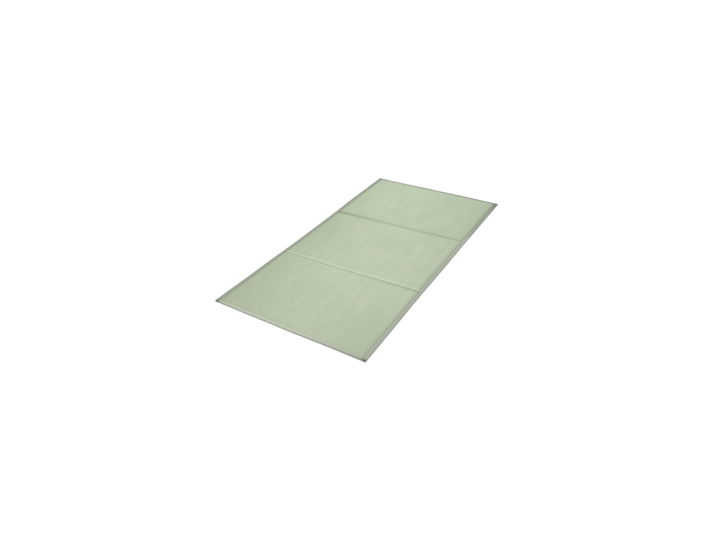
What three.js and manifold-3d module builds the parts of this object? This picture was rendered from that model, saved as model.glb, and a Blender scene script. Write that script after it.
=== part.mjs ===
// A folding tatami floor mat, lying open: one padded mat of woven rush in three panels, and four strips
// of cloth tape bound round its edges. Millimetres. X runs across the mat, Y along it from the near end
// to the far end, and Z = 0 is the floor.
import * as THREE from 'three';
import { mergeVertices } from 'three/addons/utils/BufferGeometryUtils.js';
import Module from 'manifold-3d';

const wasm = await Module();
wasm.setup();

// The whole mat. Its edges and folds wander a few millimetres from these lines.
const WIDTH = 900;
const LENGTH = 1800;
const FREE = 0.3; // clearance between neighbouring pieces

// The tape folded round each edge, as a lip that is RIM_HEIGHT over all.
const RIM_HEIGHT = 9;
const RIM_ROUND = 2.8; // radius of the lip's two outer corners
const TAPE_THICK = 1;
const SIDE_TAPE_WIDTH = 21;
const END_TAPE_WIDTH = 16;
const SEAM_DIP = 0.4; // the sewn inner edge of the tape sits this much below its crest
const CREST_SHARE = 0.55; // where across the tape's width the crest ends
const MOUTH_CUT = 5; // how far the cutter for a strip's hollow runs past its open sides

// Each end strip is pressed down at its ends, to pass under the side strips.
const TUCK_DROP = TAPE_THICK + FREE + SEAM_DIP;
const TUCK_FROM = SIDE_TAPE_WIDTH + 9;
const TUCK_TO = SIDE_TAPE_WIDTH + 1.5;

// The rush face is raised in lengthwise ribs, one for each pair of warp threads.
const RIB_PITCH = 15;
const RIB_RISE = 0.9;
const RIB_CREST_FROM = 0.3; // share of the pitch where the crest begins
const RIB_CREST_TO = 0.7;

// The mat swells from the tape's sewn edge to its full padding over this distance.
const SEAM_CLEAR = 1;
const SWELL = 28;
const UNDER_SWELL = 9;

// The lines that cross the mat, as Y at each X. The folds run askew, from one side to the other.
const CROSS_LINES = [
  { x: -450, near: -898.5, nearFold: -318.0, middle: 0, farFold: 280.0, far: 903.5 },
  { x: -405, near: -898.5, nearFold: -317.2, middle: 0, farFold: 281.5, far: 903.5 },
  { x: -260, near: -899.8, nearFold: -316.0, middle: 0, farFold: 286.5, far: 900.3 },
  { x: -110, near: -899.5, nearFold: -315.4, middle: 0, farFold: 291.3, far: 902.3 },
  { x: 40, near: -901.2, nearFold: -312.8, middle: 0, farFold: 294.0, far: 901.2 },
  { x: 240, near: -899.4, nearFold: -305.3, middle: 0, farFold: 301.5, far: 901.0 },
  { x: 405, near: -900.2, nearFold: -299.8, middle: 0, farFold: 304.2, far: 898.4 },
  { x: 450, near: -900.2, nearFold: -298.6, middle: 0, farFold: 305.0, far: 898.4 },
];

// How far each long side bows out past half the width, at each Y. The binding draws the waist in.
const SIDE_BOW = [
  { y: -910, left: 5.6, right: 2.0 },
  { y: -855, left: 5.6, right: 2.0 },
  { y: -600, left: 1.3, right: 1.0 },
  { y: -308, left: -2.5, right: -2.1 },
  { y: 0, left: -4.4, right: -0.3 },
  { y: 292, left: -2.6, right: -1.1 },
  { y: 600, left: 1.6, right: 0.1 },
  { y: 855, left: 1.5, right: 0.5 },
  { y: 910, left: 1.5, right: 0.5 },
];

// The rows under an end strip, by their inset from the mat's end.
const RIM_ROWS = [
  { inset: RIM_ROUND, dip: 0, outermost: true },
  { inset: END_TAPE_WIDTH * CREST_SHARE, dip: 0, outermost: false },
  { inset: END_TAPE_WIDTH, dip: SEAM_DIP, outermost: false },
];

// The padded rows from the near end to the far end: each follows a line at an offset along Y. top is the
// height of the hollows between ribs, and under the height of the underside. The near fold is a tight
// sewn crease with a raised shoulder beyond it, and the far fold is a wide, soft valley.
const PADDED_ROWS = [
  { line: 'near', offset: END_TAPE_WIDTH + SEAM_CLEAR, top: 7.5, under: TAPE_THICK + FREE },
  { line: 'near', offset: END_TAPE_WIDTH + UNDER_SWELL, top: 8.8, under: 0 },
  { line: 'near', offset: END_TAPE_WIDTH + SWELL, top: 9.6, under: 0 },
  { line: 'near', offset: 300, top: 10.1, under: 0 },
  { line: 'nearFold', offset: -54, top: 9.7, under: 0 },
  { line: 'nearFold', offset: -31, top: 9.1, under: 0 },
  { line: 'nearFold', offset: -15, top: 9.6, under: 0 },
  { line: 'nearFold', offset: -5, top: 8.8, under: 0.5 },
  { line: 'nearFold', offset: 0, top: 5.3, under: 1.4 },
  { line: 'nearFold', offset: 5, top: 9.0, under: 0.5 },
  { line: 'nearFold', offset: 15, top: 10.4, under: 0 },
  { line: 'nearFold', offset: 42, top: 9.8, under: 0 },
  { line: 'middle', offset: 0, top: 10.1, under: 0 },
  { line: 'farFold', offset: -34, top: 9.6, under: 0 },
  { line: 'farFold', offset: -13, top: 7.9, under: 0 },
  { line: 'farFold', offset: 0, top: 5.7, under: 1.4 },
  { line: 'farFold', offset: 15, top: 7.5, under: 0 },
  { line: 'farFold', offset: 36, top: 9.1, under: 0 },
  { line: 'farFold', offset: 60, top: 9.7, under: 0 },
  { line: 'far', offset: -300, top: 10.1, under: 0 },
  { line: 'far', offset: -END_TAPE_WIDTH - SWELL, top: 9.6, under: 0 },
  { line: 'far', offset: -END_TAPE_WIDTH - UNDER_SWELL, top: 8.8, under: 0 },
  { line: 'far', offset: -END_TAPE_WIDTH - SEAM_CLEAR, top: 7.5, under: TAPE_THICK + FREE },
];

const rushFinish = new THREE.MeshStandardMaterial({ color: 0xb9c5ab, roughness: 0.82, metalness: 0 });
const tapeFinish = new THREE.MeshStandardMaterial({ color: 0xa9a897, roughness: 0.9, metalness: 0 });

// ---- Lines of the mat ----

/** The value of one column of a table at a place along its key column, straight between its rows. */
function lookUp(table, key, column, at) {
  const next = table.findIndex((row) => row[key] >= at);
  if (next === 0) return table[0][column];
  if (next < 0) return table[table.length - 1][column];
  const [from, to] = [table[next - 1], table[next]];
  return THREE.MathUtils.mapLinear(at, from[key], to[key], from[column], to[column]);
}

/** How far an end strip is pressed down, at one inset from the mat's side. */
function tuckDrop(inset) {
  return TUCK_DROP * THREE.MathUtils.clamp((TUCK_FROM - inset) / (TUCK_FROM - TUCK_TO), 0, 1);
}

/** Distance in from the nearer long side, of a nominal X. */
function sideInset(x) {
  return WIDTH / 2 - Math.abs(x);
}

/** A nominal X moved with the waist of the mat at one Y. */
function waisted(x, y) {
  const left = -lookUp(SIDE_BOW, 'y', 'left', y);
  const right = lookUp(SIDE_BOW, 'y', 'right', y);
  return x + THREE.MathUtils.lerp(left, right, (x + WIDTH / 2) / WIDTH);
}

// ---- Closed surfaces ----

/** A geometry of points and triangles, turned so that its faces point out. */
function closedGeometry(points, triangles) {
  const volume = triangles.reduce((sum, [a, b, c]) => {
    return sum + points[a].dot(new THREE.Vector3().crossVectors(points[b], points[c]));
  }, 0);
  const facing = volume > 0 ? triangles : triangles.map(([a, b, c]) => [a, c, b]);
  return new THREE.BufferGeometry().setFromPoints(points).setIndex(facing.flat());
}

/** A closed surface through rings that have the same number of points, with a flat fan at each end. */
function loft(rings) {
  const count = rings[0].length;
  const triangles = [];
  for (let ring = 0; ring + 1 < rings.length; ring += 1) {
    for (let i = 0; i < count; i += 1) {
      const a = ring * count + i;
      const b = ring * count + ((i + 1) % count);
      triangles.push([a, b, b + count], [a, b + count, a + count]);
    }
  }
  const last = (rings.length - 1) * count;
  for (let i = 1; i + 1 < count; i += 1) {
    triangles.push([0, i + 1, i], [last, last + i, last + i + 1]);
  }
  return closedGeometry(rings.flat(), triangles);
}

/** A closed geometry as a manifold-3d solid. */
function solidOf(geometry) {
  const bare = new THREE.BufferGeometry();
  bare.setAttribute('position', geometry.getAttribute('position'));
  bare.setIndex(geometry.getIndex());
  const merged = mergeVertices(bare, 1e-4);
  return new wasm.Manifold(new wasm.Mesh({
    numProp: 3,
    vertProperties: merged.attributes.position.array,
    triVerts: new Uint32Array(merged.index.array),
  }));
}

/** A manifold-3d solid as a three.js geometry. */
function geometryOf(solid) {
  const { vertProperties, triVerts } = solid.getMesh();
  return new THREE.BufferGeometry()
    .setAttribute('position', new THREE.BufferAttribute(new Float32Array(vertProperties), 3))
    .setIndex(new THREE.BufferAttribute(new Uint32Array(triVerts), 1));
}

/** A named mesh with flat-shaded faces. */
function namedMesh(name, geometry, finish) {
  const faceted = geometry.toNonIndexed();
  faceted.computeVertexNormals();
  const mesh = new THREE.Mesh(faceted, finish);
  mesh.name = name;
  return mesh;
}

// ---- Binding tape ----

/**
 * The filled outline of the folded tape, as points of inset from the mat's edge and height.
 * `shrink` sets it in all round, and `mouth` is the inset of its open side.
 */
function lipOutline(width, shrink, mouth) {
  const round = Math.max(RIM_ROUND - shrink, 0.1);
  const centreLow = shrink + round;
  const centreHigh = RIM_HEIGHT - shrink - round;
  const outline = [{ inset: mouth, z: shrink }];
  for (const turn of [-90, -135, -180]) {
    const angle = THREE.MathUtils.degToRad(turn);
    outline.push({ inset: centreLow + round * Math.cos(angle), z: centreLow + round * Math.sin(angle) });
  }
  for (const turn of [180, 135, 90]) {
    const angle = THREE.MathUtils.degToRad(turn);
    outline.push({ inset: centreLow + round * Math.cos(angle), z: centreHigh + round * Math.sin(angle) });
  }
  outline.push({ inset: width * CREST_SHARE, z: RIM_HEIGHT - shrink });
  outline.push({ inset: mouth, z: RIM_HEIGHT - shrink - SEAM_DIP });
  return outline;
}

/** The tape's folded section, swept through stations and hollowed out where it grips the mat. */
function foldedTape(width, outerStations, hollowStations, place) {
  const ring = (station, mouth) => {
    return lipOutline(width, station.shrink, mouth).map((p) => place(station.along, p.inset, p.z));
  };
  const outer = solidOf(loft(outerStations.map((station) => ring(station, width))));
  const hollow = solidOf(loft(hollowStations.map((station) => ring(station, width + MOUTH_CUT))));
  return geometryOf(outer.subtract(hollow));
}

/** A long strip of tape: it runs the whole length, over the end strips, and its ends are closed. */
function sideBinding(name, side) {
  const corner = side * (WIDTH / 2);
  const from = lookUp(CROSS_LINES, 'x', 'near', corner);
  const to = lookUp(CROSS_LINES, 'x', 'far', corner);
  const bow = side < 0 ? 'left' : 'right';
  const between = SIDE_BOW.map((row) => row.y).filter((y) => y > from && y < to);
  const endRound = TAPE_THICK + FREE;
  const outer = [
    { along: from, shrink: endRound },
    { along: from + endRound, shrink: 0 },
    ...between.map((y) => ({ along: y, shrink: 0 })),
    { along: to - endRound, shrink: 0 },
    { along: to, shrink: endRound },
  ];
  const hollow = [from + TAPE_THICK, ...between, to - TAPE_THICK]
    .map((y) => ({ along: y, shrink: TAPE_THICK }));
  const place = (y, inset, z) => {
    const edge = WIDTH / 2 + lookUp(SIDE_BOW, 'y', bow, y);
    return new THREE.Vector3(side * (edge - inset), y, z);
  };
  return namedMesh(name, foldedTape(SIDE_TAPE_WIDTH, outer, hollow, place), tapeFinish);
}

/** X of the stations along an end strip, from one tucked end to the other. */
function endStations() {
  const insets = [RIM_ROUND, TUCK_TO, TUCK_FROM];
  const left = insets.map((inset) => inset - WIDTH / 2);
  const right = left.map((x) => -x).reverse();
  const between = CROSS_LINES.map((row) => row.x).filter((x) => sideInset(x) > TUCK_FROM);
  return [...left, ...between, ...right];
}

/** A short strip of tape: its ends are pressed down and tucked inside the long strips. */
function endBinding(name, line) {
  const end = line === 'near' ? -1 : 1;
  const stations = endStations();
  const hollowed = [stations[0] - MOUTH_CUT, ...stations.slice(1, -1), stations.at(-1) + MOUTH_CUT];
  const outer = stations.map((x) => ({ along: x, shrink: tuckDrop(sideInset(x)) }));
  const hollow = hollowed.map((x) => ({ along: x, shrink: tuckDrop(sideInset(x)) + TAPE_THICK }));
  const place = (x, inset, z) => {
    const y = lookUp(CROSS_LINES, 'x', line, x) - end * inset;
    return new THREE.Vector3(waisted(x, y), y, z);
  };
  return namedMesh(name, foldedTape(END_TAPE_WIDTH, outer, hollow, place), tapeFinish);
}

// ---- Rush mat ----

/** Columns across the hidden rim and the underside: nominal X only. */
function plainColumns() {
  const insets = [
    RIM_ROUND,
    SIDE_TAPE_WIDTH * CREST_SHARE,
    SIDE_TAPE_WIDTH + SEAM_CLEAR,
    TUCK_FROM,
  ];
  const left = insets.map((inset) => inset - WIDTH / 2);
  const right = left.map((x) => -x).reverse();
  const between = CROSS_LINES.map((row) => row.x).filter((x) => sideInset(x) > TUCK_FROM);
  return [...left, ...between, ...right].map((x) => ({ x, rise: 0 }));
}

/** Columns across the ribbed face: the flat rim at each side, and three for each rib. */
function ribbedColumns() {
  const first = SIDE_TAPE_WIDTH + SEAM_CLEAR - WIDTH / 2;
  const ribs = Math.round((-2 * first) / RIB_PITCH);
  const pitch = (-2 * first) / ribs;
  const rim = [RIM_ROUND, SIDE_TAPE_WIDTH * CREST_SHARE].map((inset) => inset - WIDTH / 2);
  const columns = rim.map((x) => ({ x, rise: 0 }));
  for (let rib = 0; rib < ribs; rib += 1) {
    const x = first + rib * pitch;
    columns.push({ x, rise: 0 });
    columns.push({ x: x + RIB_CREST_FROM * pitch, rise: RIB_RISE });
    columns.push({ x: x + RIB_CREST_TO * pitch, rise: RIB_RISE });
  }
  columns.push({ x: -first, rise: 0 });
  rim.reverse().forEach((x) => columns.push({ x: -x, rise: 0 }));
  return columns;
}

/** The rows hidden in one end strip, from the near end to the far end. */
function rimRows(line) {
  const inward = line === 'near' ? 1 : -1;
  const rows = RIM_ROWS.map((row) => ({ ...row, line, inward, rim: true, offset: inward * row.inset }));
  return line === 'near' ? rows : rows.reverse();
}

/** Y of a row at one nominal X. The outermost rows draw in where the end strips are tucked. */
function rowY(row, x) {
  const drawnIn = row.outermost ? row.inward * tuckDrop(sideInset(x)) : 0;
  return lookUp(CROSS_LINES, 'x', row.line, x) + row.offset + drawnIn;
}

/** Height of the mat at one row and column: its upper face, or its underside. */
function matHeight(row, column, face) {
  const inset = sideInset(column.x);
  const grip = TAPE_THICK + FREE;
  if (row.rim) {
    const drop = grip + tuckDrop(inset);
    return face === 'top' ? RIM_HEIGHT - drop - row.dip : drop;
  }
  const past = inset - SIDE_TAPE_WIDTH;
  if (face === 'top') {
    const seam = RIM_HEIGHT - grip - (past > 0 ? SEAM_DIP : 0);
    const swell = THREE.MathUtils.smoothstep(past, 0, SWELL);
    return THREE.MathUtils.lerp(seam, row.top, swell) + column.rise * swell;
  }
  return past > UNDER_SWELL - SEAM_CLEAR ? row.under : grip;
}

/** The mat's upper face and underside as rows of points, closed by a wall round the edge. */
function rushMatGeometry() {
  const rows = [...rimRows('near'), ...PADDED_ROWS, ...rimRows('far')];
  const plain = plainColumns();
  const ribbed = ribbedColumns();
  const points = [];
  const pointRow = (row, columns, face) => columns.map((column) => {
    const y = rowY(row, column.x);
    points.push(new THREE.Vector3(waisted(column.x, y), y, matHeight(row, column, face)));
    return { id: points.length - 1, x: column.x };
  });
  const top = rows.map((row) => pointRow(row, row.rim ? plain : ribbed, 'top'));
  const under = rows.map((row) => pointRow(row, plain, 'under'));
  const triangles = [];
  for (let r = 0; r + 1 < rows.length; r += 1) {
    triangles.push(...joinRows(top[r], top[r + 1]));
    triangles.push(...joinRows(under[r + 1], under[r]));
    triangles.push(...joinSides(top[r][0], top[r + 1][0], under[r][0], under[r + 1][0]));
    triangles.push(...joinSides(top[r + 1].at(-1), top[r].at(-1), under[r + 1].at(-1), under[r].at(-1)));
  }
  triangles.push(...joinRows(under[0], top[0]));
  triangles.push(...joinRows(top.at(-1), under.at(-1)));
  return closedGeometry(points, triangles);
}

/** Triangles between two rows, whose points may differ in number: the row that lags steps next. */
function joinRows(rowA, rowB) {
  const triangles = [];
  let a = 0;
  let b = 0;
  while (a + 1 < rowA.length || b + 1 < rowB.length) {
    const nextA = a + 1 < rowA.length ? rowA[a + 1].x : Infinity;
    const nextB = b + 1 < rowB.length ? rowB[b + 1].x : Infinity;
    if (nextA <= nextB) {
      triangles.push([rowA[a].id, rowA[a + 1].id, rowB[b].id]);
      a += 1;
    } else {
      triangles.push([rowA[a].id, rowB[b + 1].id, rowB[b].id]);
      b += 1;
    }
  }
  return triangles;
}

/** Two triangles of the wall at one side, from the upper face down to the underside. */
function joinSides(top, nextTop, under, nextUnder) {
  return [[top.id, nextTop.id, nextUnder.id], [top.id, nextUnder.id, under.id]];
}

// ---- Assembly ----

const mat = new THREE.Group();
mat.add(namedMesh('rush_mat', rushMatGeometry(), rushFinish));
mat.add(sideBinding('side_binding_left', -1));
mat.add(sideBinding('side_binding_right', 1));
mat.add(endBinding('end_binding_near', 'near'));
mat.add(endBinding('end_binding_far', 'far'));

// The origin is under the middle of the mat's outline.
const outline = new THREE.Box3().setFromObject(mat);
const middle = outline.getCenter(new THREE.Vector3());
mat.position.set(-middle.x, -middle.y, 0);

export default mat;
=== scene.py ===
"""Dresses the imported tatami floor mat, lying open in a plain studio.

One closed mesh of ribbed rush stands for the padded mat, and a folded strip of woven tape stands for
each edge binding. Rows of sewn thread hold the tape down and quilt the two folds. Everything is in
metres in the frame's own axes: X across the mat, Y from its near end to its far end, Z up.
"""

from __future__ import annotations

import bisect
import logging
import math
from dataclasses import dataclass
from enum import Enum
from typing import Callable, Iterable, Sequence

import bmesh
import bpy
from mathutils import Matrix, Vector, noise

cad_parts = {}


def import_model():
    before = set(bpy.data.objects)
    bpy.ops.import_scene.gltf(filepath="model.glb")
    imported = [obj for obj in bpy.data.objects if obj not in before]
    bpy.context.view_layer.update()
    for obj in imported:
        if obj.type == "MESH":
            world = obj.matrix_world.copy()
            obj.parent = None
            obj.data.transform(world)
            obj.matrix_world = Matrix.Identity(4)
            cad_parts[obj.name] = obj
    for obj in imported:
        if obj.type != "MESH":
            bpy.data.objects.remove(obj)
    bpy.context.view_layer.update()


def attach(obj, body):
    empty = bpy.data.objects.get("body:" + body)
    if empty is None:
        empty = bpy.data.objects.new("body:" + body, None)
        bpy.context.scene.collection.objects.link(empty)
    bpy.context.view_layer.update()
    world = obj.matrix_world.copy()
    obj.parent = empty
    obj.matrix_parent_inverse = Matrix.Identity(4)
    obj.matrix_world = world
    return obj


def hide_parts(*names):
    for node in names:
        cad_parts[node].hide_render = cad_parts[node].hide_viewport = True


Colour = tuple[float, float, float]
Range = tuple[float, float]

LOG = logging.getLogger("tatami_mat")
MM = 0.001
ROOT_BODY = "root"
BAKE_MAP = "OFBake"
BAKE_EDGE = 0.005
BAKE_RIM = 0.002
FOLD_STITCH = 3.8 * MM


class Side(Enum):
    """A long side of the mat, as the sign of its X."""

    LEFT = -1
    RIGHT = 1


class End(Enum):
    """A short end of the mat, as the sign of its Y."""

    NEAR = -1
    FAR = 1


class Face(Enum):
    """A face of the mat, as the sign of its outward Z."""

    TOP = 1
    UNDER = -1


class Layer(Enum):
    """A side of a strip of cloth."""

    OUTER = "outer"
    INNER = "inner"


# ---------------------------------------------------------------- Lines and plan


@dataclass(frozen=True)
class SmoothLine:
    """A smooth line through knots of place and value, level past its two ends."""

    knots: tuple[tuple[float, float], ...]

    def at(self, place: float) -> float:
        """Reads the line at one place.

        Args:
            place: The place along the line.

        Returns:
            The value there, on a cubic whose slopes come from the neighbouring knots.
        """
        knots = self.knots
        if place <= knots[0][0]:
            return knots[0][1]
        if place >= knots[-1][0]:
            return knots[-1][1]
        i = bisect.bisect_right(knots, (place, math.inf)) - 1
        (x0, y0), (x1, y1) = knots[i], knots[i + 1]
        step = x1 - x0
        t = (place - x0) / step
        rise = t * t * (3 - 2 * t)
        swing = self._slope(i) * (t - 2 * t * t + t**3) + self._slope(i + 1) * (t**3 - t * t)
        return y0 + (y1 - y0) * rise + swing * step

    def _slope(self, i: int) -> float:
        """The slope at knot i, which is level at the two ends and at a turning point.

        Args:
            i: The knot.

        Returns:
            The slope, as value over place.
        """
        knots = self.knots
        if i in (0, len(knots) - 1):
            return 0.0
        (x0, y0), (x1, y1), (x2, y2) = knots[i - 1 : i + 2]
        before, after = (y1 - y0) / (x1 - x0), (y2 - y1) / (x2 - x1)
        if before * after <= 0:
            return 0.0
        return 2 * before * after / (before + after)


def millimetres(*pairs: tuple[float, float]) -> SmoothLine:
    """A smooth line whose knots are given in millimetres."""
    return SmoothLine(tuple((place * MM, value * MM) for place, value in pairs))


def shares_along(*pairs: tuple[float, float]) -> SmoothLine:
    """A smooth line of shares from 0 to 1, whose places are given in millimetres."""
    return SmoothLine(tuple((place * MM, share) for place, share in pairs))


def ease(share: float) -> float:
    """A smooth step from 0 to 1, held outside that range."""
    t = min(1.0, max(0.0, share))
    return t * t * (3 - 2 * t)


def bell(distance: float, reach: float) -> float:
    """A smooth hump of height 1 that has died away at about twice its reach."""
    return math.exp(-((distance / reach) ** 2))


def wander(*place: float) -> float:
    """Smooth noise from -1 to 1 at a place of up to three numbers, alike on every run."""
    return noise.noise(Vector((*place, 0.0, 0.0)[:3]))


@dataclass(frozen=True)
class Crossings:
    """Y of the four lines that cross the mat at one nominal X, from the near end to the far end."""

    near: float
    near_fold: float
    far_fold: float
    far: float

    def line(self, number: int) -> float:
        """One of the four lines, counted from the near end."""
        return (self.near, self.near_fold, self.far_fold, self.far)[number]

    def end_inset(self, y: float) -> float:
        """Distance in from the nearer end."""
        return min(y - self.near, self.far - y)

    def panel_share(self, y: float) -> float:
        """How far across its panel a place lies, from 0 at one fold or end to 1 at the next.

        Args:
            y: Y in the plan's own axes.

        Returns:
            The share of the way across the panel.
        """
        for number in range(3):
            low, high = self.line(number), self.line(number + 1)
            if low <= y <= high:
                return (y - low) / (high - low)
        return 0.0


@dataclass(frozen=True)
class MatPlan:
    """The mat's plan: its wandering outline and its two slanting folds.

    The edges are kept as bows, which are distances out from the sides of a mat of exactly width by
    length, to the nearest half millimetre at corners, folds and bends. All lines are in the plan's
    own axes, whose middle is `centre` in the frame.
    """

    width: float = 900 * MM
    length: float = 1800 * MM
    centre: tuple[float, float] = (1.8 * MM, -1.15 * MM)
    bow_left: SmoothLine = millimetres(
        (-850, 5.5), (-650, 2), (-420, 0), (-300, -2.5), (-150, -4.5), (0, -4.5), (300, -2.5),
        (480, 1.5), (850, 1.5),
    )
    bow_right: SmoothLine = millimetres(
        (-850, 1.5), (-650, 0.5), (-430, -2), (-320, -2.5), (-300, -3), (-280, -2.5), (0, -1),
        (280, -1.5), (300, -2.5), (320, -1.5), (500, -1), (850, 0),
    )
    bow_near: SmoothLine = millimetres(
        (-340, -2), (-260, -0.5), (-110, -1), (40, 1), (110, 0), (300, -1.5), (400, 0),
    )
    bow_far: SmoothLine = millimetres(
        (-400, 3.5), (-340, 0.5), (-260, 0), (-180, 2), (-110, 2.5), (40, 1), (140, 2), (300, 0),
        (400, -1.5),
    )
    near_fold: SmoothLine = millimetres(
        (-450, -320), (-270, -318), (-60, -317), (50, -315), (150, -311), (300, -305), (450, -300.5),
    )
    far_fold: SmoothLine = millimetres(
        (-450, 280), (-280, 286), (-70, 292.5), (30, 293.5), (220, 301.5), (330, 303.5), (450, 305.5),
    )

    def crossings(self, x: float) -> Crossings:
        """The four lines that cross the mat at one nominal X.

        Args:
            x: Nominal X.

        Returns:
            The lines there.
        """
        near = -self.length / 2 - self.bow_near.at(x)
        far = self.length / 2 + self.bow_far.at(x)
        return Crossings(near, self.near_fold.at(x), self.far_fold.at(x), far)

    def placed(self, x: float, y: float, z: float) -> Vector:
        """A point of the frame.

        Args:
            x: Nominal X, from -width / 2 to width / 2, which is moved with the outline's bows.
            y: Y in the plan's own axes.
            z: Height over the floor.

        Returns:
            The point.
        """
        share = x / self.width + 0.5
        bowed = x - self.bow_left.at(y) * (1 - share) + self.bow_right.at(y) * share
        return Vector((bowed + self.centre[0], y + self.centre[1], z))

    def side_inset(self, x: float) -> float:
        """Distance in from the nearer long side."""
        return self.width / 2 - abs(x)


@dataclass(frozen=True)
class Lip:
    """The bound edge: the tape's folded section, its seam, and how far it holds the mat down."""

    height: float = 9.0 * MM
    round: float = 3.2 * MM
    tape: float = 1.0 * MM
    free: float = 0.3 * MM
    side_width: float = 21 * MM
    end_width: float = 16 * MM
    seam_inset: float = 3.2 * MM
    seam_dip: float = 1.0 * MM
    seam_lift: float = 0.3 * MM
    flare: float = 1.15 * MM
    hole: float = 0.35 * MM
    hole_reach: float = 1.2 * MM
    stitch_pitch: float = 4.0 * MM
    tuck_from: float = 30 * MM
    tuck_to: float = 22.5 * MM
    tuck_drop: float = 2.3 * MM

    def tuck(self, side_inset: float) -> float:
        """How far an end strip is pressed down, to pass under the side strips."""
        return self.tuck_drop * ease((self.tuck_from - side_inset) / (self.tuck_from - self.tuck_to))

    @property
    def grip(self) -> float:
        """Room that the cloth takes on each face of the mat."""
        return self.tape + self.free

    @property
    def pinched(self) -> float:
        """Height of the mat's upper face under the seam."""
        return self.height - self.seam_dip - self.grip - self.hole


# ---------------------------------------------------------------- Mesh helpers


@dataclass
class Shell:
    """A closed shell of two like grids, one over the other and joined round the rim.

    It starts flat. Each point knows its column, its row, and whether it is on the upper grid.
    """

    columns: int
    rows: int

    def __post_init__(self) -> None:
        """Makes the flat shell."""
        self.bm = bmesh.new()
        bmesh.ops.create_grid(self.bm, x_segments=self.columns - 1, y_segments=self.rows - 1, size=1.0)
        bmesh.ops.solidify(self.bm, geom=self.bm.faces[:], thickness=0.5)
        self.bm.verts.index_update()
        middle = sum(v.co.z for v in self.bm.verts) / len(self.bm.verts)
        self.spots = [
            (
                round((v.co.x + 1) / 2 * (self.columns - 1)),
                round((v.co.y + 1) / 2 * (self.rows - 1)),
                v.co.z > middle,
            )
            for v in self.bm.verts
        ]

    def finish(self, name: str, material: bpy.types.Material) -> bpy.types.Object:
        """Turns the shell into a smooth-shaded piece of one finish, at the origin."""
        bmesh.ops.recalc_face_normals(self.bm, faces=self.bm.faces[:])
        return linked(name, smooth_mesh(name, self.bm), material)


def smooth_mesh(name: str, bm: bmesh.types.BMesh) -> bpy.types.Mesh:
    """Turns a bmesh into a smooth-shaded mesh.

    Args:
        name: The mesh's name.
        bm: The bmesh, which is freed.

    Returns:
        The mesh.
    """
    for face in bm.faces:
        face.smooth = True
    mesh = bpy.data.meshes.new(name)
    bm.to_mesh(mesh)
    bm.free()
    return mesh


def linked(name: str, mesh: bpy.types.Mesh, material: bpy.types.Material) -> bpy.types.Object:
    """Makes an object of a mesh and links it to the scene.

    Args:
        name: The object's name.
        mesh: Its mesh.
        material: Its only material.

    Returns:
        The object, at the origin.
    """
    mesh.materials.clear()
    mesh.materials.append(material)
    piece = bpy.data.objects.new(name, mesh)
    bpy.context.scene.collection.objects.link(piece)
    return piece


def bind(piece: bpy.types.Object, nodes: Sequence[str] = ()) -> bpy.types.Object:
    """Binds a piece to the mat's one body, in the place of CAD nodes.

    Args:
        piece: The finished piece.
        nodes: CAD nodes that it stands for, if any.

    Returns:
        The same piece.
    """
    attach(piece, ROOT_BODY)
    if nodes:
        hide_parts(*nodes)
    LOG.info("%s: %d faces", piece.name, len(piece.data.polygons))
    return piece


# ---------------------------------------------------------------- Shader nodes


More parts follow.
